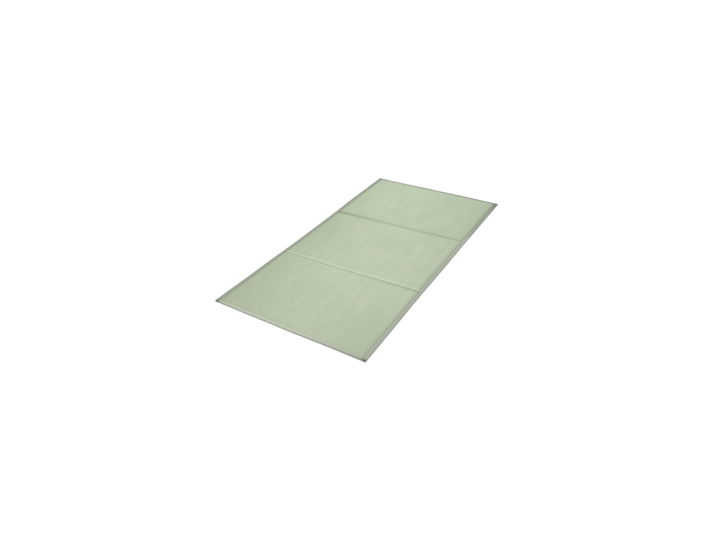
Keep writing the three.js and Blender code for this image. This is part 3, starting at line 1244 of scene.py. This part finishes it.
    def _map(self, shell: Shell, columns: Sequence[Column], levels: Sequence[Sequence[float]]) -> None:
        """Adds the weave map, in ribs and strands, and a bake map with the two faces side by side.

        Args:
            shell: The mat's shell.
            columns: Its columns.
            levels: Y of each point, by column and row.
        """
        weave = shell.bm.loops.layers.uv.new(RushFinish.weave_map)
        bake = shell.bm.loops.layers.uv.new(BAKE_MAP)
        width, length = self.plan.width, self.plan.length
        for face in shell.bm.faces:
            is_rim = len({shell.spots[vertex.index][2] for vertex in face.verts}) == 2
            for loop in face.loops:
                column, row, upper = shell.spots[loop.vert.index]
                spot, along = columns[column], levels[column][row] + length / 2
                loop[weave].uv = (spot.rib, along / self.strand_pitch)
                across = BAKE_EDGE + (0.5 - 2 * BAKE_EDGE) * (spot.x / width + 0.5)
                if is_rim:
                    across = 0.5 - BAKE_RIM if upper else BAKE_RIM
                lengthwise = 2 * BAKE_EDGE + (1 - 4 * BAKE_EDGE) * along / length
                loop[bake].uv = (across if upper else across + 0.5, lengthwise)


# ---------------------------------------------------------------- The binding


@dataclass(frozen=True)
class Fold:
    """A point of the tape's folded section, with its outward normal in inset and height."""

    inset: float
    z: float
    normal: tuple[float, float]


@dataclass(frozen=True)
class Station:
    """A place along a strip, its distance along the cloth, and how much of a needle hole it has."""

    along: float
    cloth: float
    hole: float = 0.0


@dataclass
class BindingTape:
    """One strip of tape, folded round an edge of the mat and sewn down along its inner edges."""

    plan: MatPlan
    lip: Lip
    name: str
    node: str
    width: float
    seed: float
    # Painted shade on the turned edge, and darker stretches along the strip with painted shade at the long
    # strips' ends.
    edge_shade: float
    darker_stretches: SmoothLine
    thread_pitch: float = 0.55 * MM
    edge_shade_reach: float = 10 * MM
    flared: float = 1.0
    waver: float = 0.55 * MM
    waver_waves: float = 14.0
    waver_seed: float = 1.0
    puff: float = 0.35 * MM
    puff_waves: tuple[float, float] = (9.0, 33.0)
    puff_seeds: tuple[float, float] = (2.0, 4.0)
    puff_fine: float = 0.6
    puff_ends: tuple[float, float] = (0.6, 0.9)
    sunk_from: float = 0.3
    least_hole: float = 0.1
    flap_shares: tuple[float, ...] = (1.0, 0.955, 0.91, 0.865, 0.82, 0.775, 0.7, 0.6, 0.47, 0.34)
    corner_points: int = 6

    def span(self) -> tuple[float, float]:
        """First and last place of the strip along its edge."""
        raise NotImplementedError

    def point(self, along: float, inset: float, z: float) -> Vector:
        """A point of the frame, from a place along the edge, an inset and a height."""
        raise NotImplementedError

    def drop(self, along: float) -> float:
        """How far the strip is set in and pressed down at a place."""
        return 0.0

    def thickened(self, along: float) -> float:
        """How far the strip stands proud at a place where its cloth is doubled."""
        return 0.0

    def end_round(self, along: float, reach: float) -> float:
        """How much of the section's height is left at a place, with a closing radius of `reach`."""
        return 1.0

    def shade_and_darkening(self, along: float, fold: Fold) -> float:
        """How darkened the cloth is: darker in given stretches, and painted shade at the long strips' ends
        and where it turns over the edge.
        """
        # Painted shade where the cloth turns over the edge.
        darkening = self.edge_shade * ease(2 * (1 - fold.inset / self.edge_shade_reach))
        return min(1.0, self.darker_stretches.at(along) + darkening)

    def end_stations(self, end: float, inward: float) -> list[Station]:
        """Extra stations from one end of the strip to where its sewing starts."""
        return [Station(end, end)]

    def stations(self) -> list[Station]:
        """Stations from end to end of the strip, with a needle hole at every other one.

        Returns:
            The stations in order.
        """
        start, stop = self.span()
        first, last = start + self.lip.round, stop - self.lip.round
        count = 2 * round((last - first) / self.lip.stitch_pitch)
        places = [first + (last - first) * i / count for i in range(count + 1)]
        sewn = [Station(place, place, 1.0 - i % 2) for i, place in enumerate(places)]
        return [*self.end_stations(start, 1.0), *sewn, *reversed(self.end_stations(stop, -1.0))]

    def section(self) -> list[Fold]:
        """The folded section, from the lower inner edge round the lip to the upper inner edge.

        Returns:
            Its points in order.
        """
        lip = self.lip
        under = [Fold(self.width * share, 0.0, (0.0, -1.0)) for share in self.flap_shares]
        for i in range(self.corner_points):
            angle = math.pi / 2 * i / (self.corner_points - 1)
            outward = (-math.sin(angle), -math.cos(angle))
            under.append(Fold(lip.round * (1 + outward[0]), lip.round * (1 + outward[1]), outward))
        upper = [Fold(f.inset, lip.height - f.z, (f.normal[0], -f.normal[1])) for f in reversed(under)]
        return [*under, Fold(0.0, lip.height / 2, (-1.0, 0.0)), *upper]

    def relief(self, station: Station, fold: Fold) -> float:
        """How far the cloth is moved up at a point: its unevenness, its seam and its needle holes.

        Args:
            station: The place along the edge.
            fold: The point of the section.

        Returns:
            The move along Z.
        """
        lip, along = self.lip, station.along
        seam = self.width - lip.seam_inset
        past = fold.inset - seam
        open_share = self.least_hole + (1 - self.least_hole) * station.hole
        hole = bell(past, lip.hole_reach) * lip.hole * open_share
        if fold.normal[1] > 0:
            layers = zip(self.puff_waves, self.puff_seeds)
            broad, fine = (wander(along * waves, self.seed, number) for waves, number in layers)
            broad += self.puff_fine * fine
            quiet_from, quiet_to = (share * self.width for share in self.puff_ends)
            quiet = 1 - ease((fold.inset - quiet_from) / (quiet_to - quiet_from))
            sinks = self.sunk_from * self.width
            sunk = lip.seam_dip * ease((fold.inset - sinks) / (seam - sinks))
            flared = self.flared * lip.flare * max(0.0, past) / lip.seam_inset
            proud = self.thickened(along)
            return (self.puff * broad * quiet + flared + proud - sunk - hole) * fold.normal[1]
        lifted = lip.seam_lift * bell(past, 2 * lip.hole_reach) + 0.5 * hole
        return -lifted * fold.normal[1]

    def surface(self, station: Station, fold: Fold, layer: Layer = Layer.OUTER) -> Vector:
        """A point of the strip.

        Args:
            station: The place along the edge.
            fold: The point of the section.
            layer: Which side of the cloth.

        Returns:
            The point in the frame.
        """
        lip, along = self.lip, station.along
        drop = self.drop(along)
        inset, z = fold.inset, fold.z + self.relief(station, fold)
        reach = lip.round
        if layer is Layer.INNER:
            inset -= lip.tape * fold.normal[0]
            z -= lip.tape * fold.normal[1]
            reach -= lip.tape
        middle = lip.height / 2
        pressed = 1 - drop / middle
        z = middle + (z - middle) * pressed * self.end_round(along, reach)
        inset += drop * (1 - fold.inset / self.width)
        wave = wander(along * self.waver_waves, self.seed, self.waver_seed)
        waver = self.waver * wave * ease(fold.inset / self.width)
        return self.point(along, inset + waver, z)

    def build(self, material: bpy.types.Material) -> bpy.types.Object:
        """Builds the strip as a closed shell of cloth, with its tape map and its painted shade and
        darkening.

        Args:
            material: The tape's finish.

        Returns:
            The piece.
        """
        section, stations = self.section(), self.stations()
        shell = Shell(len(section), len(stations))
        tape = shell.bm.loops.layers.uv.new(TapeFinish.tape_map)
        shade_and_darkening = shell.bm.verts.layers.float.new(TapeFinish.shade_and_darkening)
        cloth = self._cloth_lengths(section)
        for vertex, (column, row, upper) in zip(shell.bm.verts, shell.spots):
            fold, station = section[column], stations[row]
            vertex.co = self.surface(station, fold, Layer.OUTER if upper else Layer.INNER)
            vertex[shade_and_darkening] = self.shade_and_darkening(station.along, fold)
        for face in shell.bm.faces:
            for loop in face.loops:
                column, row, _ = shell.spots[loop.vert.index]
                lengths = (cloth[column], stations[row].cloth)
                loop[tape].uv = tuple(length / self.thread_pitch for length in lengths)
        return shell.finish(self.name, material)

    @staticmethod
    def _cloth_lengths(section: Sequence[Fold]) -> list[float]:
        """Distance along the cloth of each point of the section.

        Args:
            section: The section's points in order.

        Returns:
            The distances from the first point.
        """
        lengths = [0.0]
        for here, there in zip(section, section[1:]):
            lengths.append(lengths[-1] + math.hypot(there.inset - here.inset, there.z - here.z))
        return lengths

    def closing(self) -> list[Stitch]:
        """Stitches that close the strip's ends, if it has any."""
        return []

    def seams(self) -> list[Stitch]:
        """The stitches along both flaps, each between two needle holes, and those that close its ends.

        Returns:
            Where the stitches lie.
        """
        holes = [station.along for station in self.stations() if station.hole > 0]
        inset = self.width - self.lip.seam_inset
        found = []
        for face, z in ((Face.TOP, self.lip.height), (Face.UNDER, 0.0)):
            fold = Fold(inset, z, (0.0, float(face.value)))
            for here, there in zip(holes, holes[1:]):
                places = (here, (here + there) / 2, there)
                before, middle, after = (self.surface(Station(place, place), fold) for place in places)
                found.append(Stitch(middle, (after - before).normalized(), Vector((0, 0, face.value))))
        return [*found, *self.closing()]


@dataclass
class SideTape(BindingTape):
    """A long strip: it runs the whole length over the end strips, and its ends are turned under."""

    side: Side = Side.LEFT
    turned: float = 12 * MM
    turned_slope: float = 3 * MM
    turned_rise: float = 0.55 * MM
    end_rows: int = 6
    closing_insets: tuple[float, ...] = (4.0, 7.6, 11.2, 14.8, 18.4)
    closing_slant: float = 0.35

    def span(self) -> tuple[float, float]:
        """Runs from one end of the mat to the other."""
        corner = self.plan.crossings(self.side.value * self.plan.width / 2)
        return corner.near, corner.far

    def point(self, along: float, inset: float, z: float) -> Vector:
        """A point of the frame, from Y, an inset from the side and a height."""
        return self.plan.placed(self.side.value * (self.plan.width / 2 - inset), along, z)

    def end_stations(self, end: float, inward: float) -> list[Station]:
        """Rows over the rounded end, evenly spaced along the cloth.

        Args:
            end: The place of the end.
            inward: 1 if the strip runs up from it, or -1 if it runs down.

        Returns:
            The stations, from the end inwards.
        """
        reach = self.lip.round
        quarter = math.pi / 4 * (reach + self.lip.height / 2)
        found = []
        for i in range(self.end_rows):
            share = i / self.end_rows
            inside = reach * (1 - math.cos(math.pi / 2 * share))
            found.append(Station(end + inward * inside, end + inward * (reach - quarter * (1 - share))))
        return found

    def closing(self) -> list[Stitch]:
        """A few slanting stitches over the nose of each turned end.

        Returns:
            Where the stitches lie.
        """
        slanting = Vector((self.closing_slant, 0, 1)).normalized()
        found = []
        for along, outward in zip(self.span(), (-1, 1)):
            for inset in self.closing_insets:
                middle = self.point(along, inset * MM, self.lip.height / 2)
                found.append(Stitch(middle, slanting, Vector((0, outward, 0))))
        return found

    def _from_end(self, along: float) -> float:
        """Distance from the nearer end of the strip."""
        start, stop = self.span()
        return min(along - start, stop - along)

    def end_round(self, along: float, reach: float) -> float:
        """The section closes over a quarter circle at both ends, inside by the cloth's thickness.

        Args:
            along: The place along the edge.
            reach: The radius of the quarter circle.

        Returns:
            The share of the section's height.
        """
        inside = self._from_end(along) - (self.lip.round - reach)
        share = min(1.0, max(0.0, inside / reach))
        return math.sqrt(1 - (1 - share) ** 2)

    def thickened(self, along: float) -> float:
        """The cloth is doubled where its end is turned under."""
        return self.turned_rise * ease((self.turned - self._from_end(along)) / self.turned_slope)


@dataclass
class EndTape(BindingTape):
    """A short strip, whose ends are pressed down and tucked inside the long strips."""

    end: End = End.NEAR

    def span(self) -> tuple[float, float]:
        """Runs across the mat, to just inside the outer edges of the long strips."""
        reach = self.plan.width / 2 - self.lip.round
        return -reach, reach

    def point(self, along: float, inset: float, z: float) -> Vector:
        """A point of the frame, from a nominal X, an inset from the end and a height.

        Args:
            along: Nominal X.
            inset: Distance in from the end.
            z: The height.

        Returns:
            The point.
        """
        crossings = self.plan.crossings(along)
        y = crossings.near + inset if self.end is End.NEAR else crossings.far - inset
        return self.plan.placed(along, y, z)

    def drop(self, along: float) -> float:
        """Pressed down where the long strips pass over it."""
        return self.lip.tuck(self.plan.side_inset(along))


# ---------------------------------------------------------------- Sewing


@dataclass(frozen=True)
class Stitch:
    """Where a stitch lies: its middle on the cloth, the way it runs, and which way is out."""

    middle: Vector
    along: Vector
    out: Vector


@dataclass
class Stitching:
    """Rows of stitches, each a stretched bead of thread half sunk in the cloth, joined as one mesh."""

    name: str
    length: float = 3.3 * MM
    thick: float = 0.6 * MM
    flat: float = 0.75
    sunk: float = 0.12 * MM
    sides: int = 6
    rings: int = 4

    def build(self, stitches: Sequence[Stitch], material: bpy.types.Material) -> bpy.types.Object:
        """Repeats one bead for each stitch and moves each copy to its place.

        Args:
            stitches: Where the stitches lie.
            material: The thread's finish.

        Returns:
            The piece.
        """
        bead = self._bead()
        points = [vertex.co.copy() for vertex in bead.vertices]
        mesh = self._repeated(bead, len(stitches))
        places = [self._placed(stitch) for stitch in stitches]
        for vertex in mesh.vertices:
            copy, number = divmod(vertex.index, len(points))
            vertex.co = places[copy] @ points[number]
        return linked(self.name, mesh, material)

    def _bead(self) -> bpy.types.Mesh:
        """One bead of thread, lying along X.

        Returns:
            Its mesh.
        """
        bm = bmesh.new()
        bmesh.ops.create_uvsphere(bm, u_segments=self.sides, v_segments=self.rings, radius=0.5)
        bmesh.ops.rotate(bm, verts=bm.verts[:], matrix=Matrix.Rotation(math.pi / 2, 3, "Y"))
        bmesh.ops.scale(bm, verts=bm.verts[:], vec=(self.length, self.thick, self.thick * self.flat))
        return smooth_mesh(self.name, bm)

    def _repeated(self, bead: bpy.types.Mesh, count: int) -> bpy.types.Mesh:
        """A mesh of the bead repeated in one array.

        Args:
            bead: One bead.
            count: How many beads.

        Returns:
            The mesh of all of them.
        """
        source = bpy.data.objects.new(self.name + "_bead", bead)
        bpy.context.scene.collection.objects.link(source)
        array = source.modifiers.new("row", "ARRAY")
        array.count = count
        evaluated = source.evaluated_get(bpy.context.evaluated_depsgraph_get())
        mesh = bpy.data.meshes.new_from_object(evaluated)
        bpy.data.objects.remove(source)
        return mesh

    def _placed(self, stitch: Stitch) -> Matrix:
        """The turn and move that take the bead to a stitch.

        Args:
            stitch: Where it lies.

        Returns:
            The matrix.
        """
        across = stitch.out.cross(stitch.along).normalized()
        normal = stitch.along.cross(across).normalized()
        turn = Matrix((stitch.along, across, normal)).transposed().to_4x4()
        lift = stitch.out * (self.thick * self.flat / 2 - self.sunk)
        return Matrix.Translation(stitch.middle + lift) @ turn


@dataclass
class FoldSeam:
    """The quilting seam along the bottom of one fold."""

    mat: RushMat
    fold: SmoothLine
    pitch: float = 4.6 * MM
    end_gap: float = 1.5 * MM
    rib_share: float = 0.6

    def stitches(self) -> list[Stitch]:
        """The stitches on the upper face and on the underside.

        Returns:
            Where the stitches lie.
        """
        plan = self.mat.plan
        reach = plan.width / 2 - self.mat.lip.side_width - self.end_gap
        count = round(2 * reach / self.pitch)
        xs = [-reach + (i + 0.5) * 2 * reach / count for i in range(count)]
        found = []
        for face in Face:
            height = self.mat.top_height if face is Face.TOP else self.mat.under_height
            for x in xs:
                places = (x - self.pitch / 2, x, x + self.pitch / 2)
                before, middle, after = (self._point(height, place) for place in places)
                found.append(Stitch(middle, (after - before).normalized(), Vector((0, 0, face.value))))
        return found

    def _point(self, height: Callable[..., float], x: float) -> Vector:
        """The mat's surface on the fold line at one nominal X."""
        y = self.fold.at(x)
        return self.mat.plan.placed(x, y, height(x, y, self.rib_share, self.mat.plan.crossings(x)))


# ---------------------------------------------------------------- The studio


@dataclass(frozen=True)
class Studio:
    """The pale floor, the soft light and the camera."""

    image_width: int = 716
    sensor: float = 36.0
    focal_pixels: float = 542.8
    middle_column: float = 324.65
    camera_place: tuple[float, float, float] = (1.3457, -2.4731, 1.6691)
    look_down: float = 32.98
    look_left: float = 34.74
    roll: float = 2.66
    floor_size: float = 60.0
    world_light: float = 0.6
    key_light: float = 2.1
    key_spread: float = 50.0
    key_from: tuple[float, float, float] = (-0.12, 0.38, 1.85)

    def build(self) -> None:
        """Adds everything that isn't the mat."""
        self._floor()
        self._world()
        self._key()
        self._camera()
        bpy.context.scene.view_settings.view_transform = "Standard"

    def _floor(self) -> None:
        """A wide flat floor under the mat."""
        bm = bmesh.new()
        bmesh.ops.create_grid(bm, x_segments=1, y_segments=1, size=self.floor_size / 2)
        linked("floor", smooth_mesh("floor", bm), FloorFinish().material())

    def _world(self) -> None:
        """An even white surround, which lights the mat less strongly than it looks."""
        world = bpy.data.worlds.new("studio surround")
        world.use_nodes = True
        background = world.node_tree.nodes["Background"]
        background.inputs["Color"].default_value = (1.0, 1.0, 1.0, 1.0)
        nodes = Nodes(world.node_tree)
        looked_at = nodes.add("LightPath").outputs["Is Camera Ray"]
        nodes.feed(background.inputs["Strength"], nodes.span(looked_at, 0.0, 1.0, self.world_light, 1.0))
        bpy.context.scene.world = world

    def _key(self) -> None:
        """One very broad light from high above, a little behind the mat and to its left."""
        data = bpy.data.lights.new("key light", "SUN")
        data.energy = self.key_light
        data.angle = math.radians(self.key_spread)
        lamp = bpy.data.objects.new("key light", data)
        lamp.rotation_euler = Vector(self.key_from).to_track_quat("Z", "Y").to_euler()
        bpy.context.scene.collection.objects.link(lamp)

    def _camera(self) -> None:
        """The camera, above and beyond the near right corner."""
        data = bpy.data.cameras.new("camera")
        data.sensor_width = self.sensor
        data.lens = self.focal_pixels / self.image_width * self.sensor
        data.shift_x = 0.5 - self.middle_column / self.image_width
        camera = bpy.data.objects.new("camera", data)
        down, left, roll = (math.radians(a) for a in (self.look_down, self.look_left, self.roll))
        turn = (
            Matrix.Rotation(left, 4, "Z")
            @ Matrix.Rotation(math.pi / 2 - down, 4, "X")
            @ Matrix.Rotation(-roll, 4, "Z")
        )
        camera.matrix_world = Matrix.Translation(self.camera_place) @ turn
        bpy.context.scene.collection.objects.link(camera)
        bpy.context.scene.camera = camera


# ---------------------------------------------------------------- Assembly


@dataclass(frozen=True)
class Sewn:
    """A strip of tape with the cloth and the thread that it is made with."""

    strip: BindingTape
    cloth: bpy.types.Material
    thread: bpy.types.Material


@dataclass
class TatamiMat:
    """The whole mat: padded rush, four strips of tape, and the sewing that holds them together."""

    plan: MatPlan
    lip: Lip

    def build(self) -> None:
        rush = RushFinish().material(StrandPattern().group())
        # The thread, and its lit copy painted lighter.
        thread, pale_thread = ThreadFinish().material(), LitThreadFinish().material()
        mat = RushMat(self.plan, self.lip)
        mat_piece = bind(mat.build(rush), ["rush_mat"])
        for dressed in self._strips(thread, pale_thread):
            strip = dressed.strip
            stitching = Stitching(strip.name + "_stitches")
            bind(strip.build(dressed.cloth), [strip.node])
            bind(stitching.build(strip.seams(), dressed.thread))
        for name, fold in (("near", self.plan.near_fold), ("far", self.plan.far_fold)):
            stitching = Stitching(f"{name}_fold_stitches", length=FOLD_STITCH)
            bind(stitching.build(FoldSeam(mat, fold).stitches(), thread))

    def _strips(self, thread: bpy.types.Material, pale_thread: bpy.types.Material) -> list[Sewn]:
        """The four strips: the near one takes the tape's lit copy, and the left one its shaded copy.

        Args:
            thread: The thread of the right strip.
            pale_thread: The thread's lit copy, painted lighter, for the other three.

        Returns:
            The strips in the order they are sewn on.
        """
        plan, lip, weave = self.plan, self.lip, PlainWeave().group()
        # The tape, with a shaded copy for the left strip and a lit copy for the near one.
        finishes = (TapeFinish(), ShadedTapeFinish(), LitTapeFinish())
        tape, dark, pale = (finish.material(weave) for finish in finishes)
        # Each strip gets its painted edge shade and darker stretches, with painted shade at the long strips'
        # ends.
        left = SideTape(
            plan, lip, "side_tape_left", "side_binding_left", lip.side_width, seed=1.7, edge_shade=0.33,
            darker_stretches=shares_along((-899, 1), (-872, 0), (300, 0), (500, 0.09), (850, 0.12), (899, 1)),
            side=Side.LEFT, flared=0.35,
        )
        right = SideTape(
            plan, lip, "side_tape_right", "side_binding_right", lip.side_width, seed=5.3, edge_shade=0.12,
            darker_stretches=shares_along(
                (-899, 1), (-880, 0), (300, 0), (480, 0.33), (750, 0.42), (850, 0.85), (899, 1),
            ),
            side=Side.RIGHT,
        )
        near = EndTape(
            plan, lip, "end_tape_near", "end_binding_near", lip.end_width, seed=8.9, edge_shade=0.15,
            darker_stretches=shares_along((-430, 0.2), (-340, 0.05), (-250, 0), (60, 0), (250, 0.16), (430, 0.32)),
            end=End.NEAR,
        )
        far = EndTape(
            plan, lip, "end_tape_far", "end_binding_far", lip.end_width, seed=12.1, edge_shade=0.1,
            darker_stretches=shares_along((-340, 0), (-100, 0.06), (180, 0.2), (430, 0.35)),
            end=End.FAR,
        )
        return [
            Sewn(left, dark, pale_thread),
            Sewn(right, tape, thread),
            Sewn(near, pale, pale_thread),
            Sewn(far, tape, pale_thread),
        ]


def main() -> None:
    """Loads the frame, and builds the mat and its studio."""
    logging.basicConfig(level=logging.INFO, format="%(message)s")
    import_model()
    TatamiMat(MatPlan(), Lip()).build()
    Studio().build()


if __name__ == "__main__":
    main()
